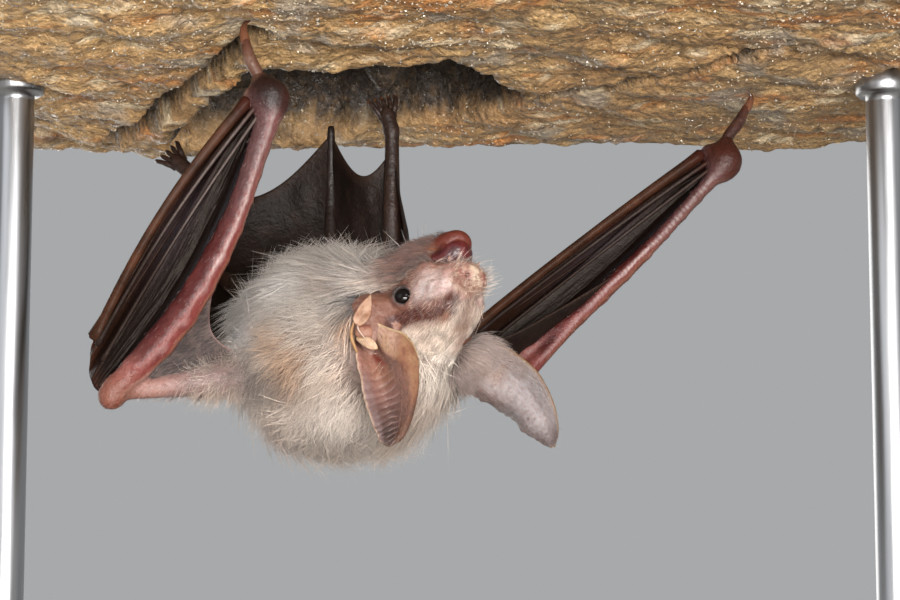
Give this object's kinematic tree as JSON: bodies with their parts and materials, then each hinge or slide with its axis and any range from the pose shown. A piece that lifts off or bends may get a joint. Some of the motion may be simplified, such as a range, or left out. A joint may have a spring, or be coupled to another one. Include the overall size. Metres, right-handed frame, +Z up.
{
  "type": "mouse-eared bat",
  "caption": "Life-size mouse-eared bat hanging by thumbs and feet under a slab of cave rock, held on a plain wooden base by two slim rods.",
  "frame": {"origin": "centre of the underside of the stand's base", "axes": "+Z up, the bat's head towards -Y, the bat's left wing towards -X"},
  "size_m": [0.136, 0.092, 0.135],
  "materials": {
    "coat": "soft matt fur, pale grey below and light brown-grey above",
    "ear": "thin satin skin, pinkish grey with amber edges",
    "arm_skin": "smooth satin skin, pink to red-brown",
    "leg_skin": "matt brown skin",
    "wing_skin": "satin dark brown skin in fine folds",
    "eye": "wet gloss black",
    "mouth": "wet dark red",
    "claw": "smooth horn",
    "rock": "rough ochre sandstone with bright grains",
    "base_wood": "dark satin varnish",
    "rod_metal": "satin"
  },
  "bodies": {
    "root": {"ear_left": "ear", "ear_right": "ear", "eye_left": "eye", "eye_right": "eye", "finger_3_left": "wing_skin", "finger_3_right": "wing_skin", "finger_4_left": "wing_skin", "finger_4_right": "wing_skin", "finger_5_left": "wing_skin", "finger_5_right": "wing_skin", "flank_membrane_left": "wing_skin", "flank_membrane_right": "wing_skin", "foot_left": "leg_skin", "foot_right": "leg_skin", "forearm_left": "arm_skin", "forearm_right": "arm_skin", "front_web_left": "wing_skin", "front_web_right": "wing_skin", "head": "coat", "lower_jaw": "mouth", "neck": "coat", "perch_rock": "rock", "shin_left": "leg_skin", "shin_right": "leg_skin", "stand_base": "base_wood", "stand_rod_left": "rod_metal", "stand_rod_right": "rod_metal", "tail": "leg_skin", "tail_membrane_left": "wing_skin", "tail_membrane_right": "wing_skin", "thigh_left": "leg_skin", "thigh_right": "leg_skin", "thumb_claw_left": "claw", "thumb_claw_right": "claw", "thumb_left": "arm_skin", "thumb_right": "arm_skin", "tongue": "mouth", "tragus_left": "ear", "tragus_right": "ear", "trunk": "coat", "upper_arm_left": "arm_skin", "upper_arm_right": "arm_skin", "wing_membrane_left": "wing_skin", "wing_membrane_right": "wing_skin", "wrist_left": "arm_skin", "wrist_right": "arm_skin"}
  },
  "joints": []
}
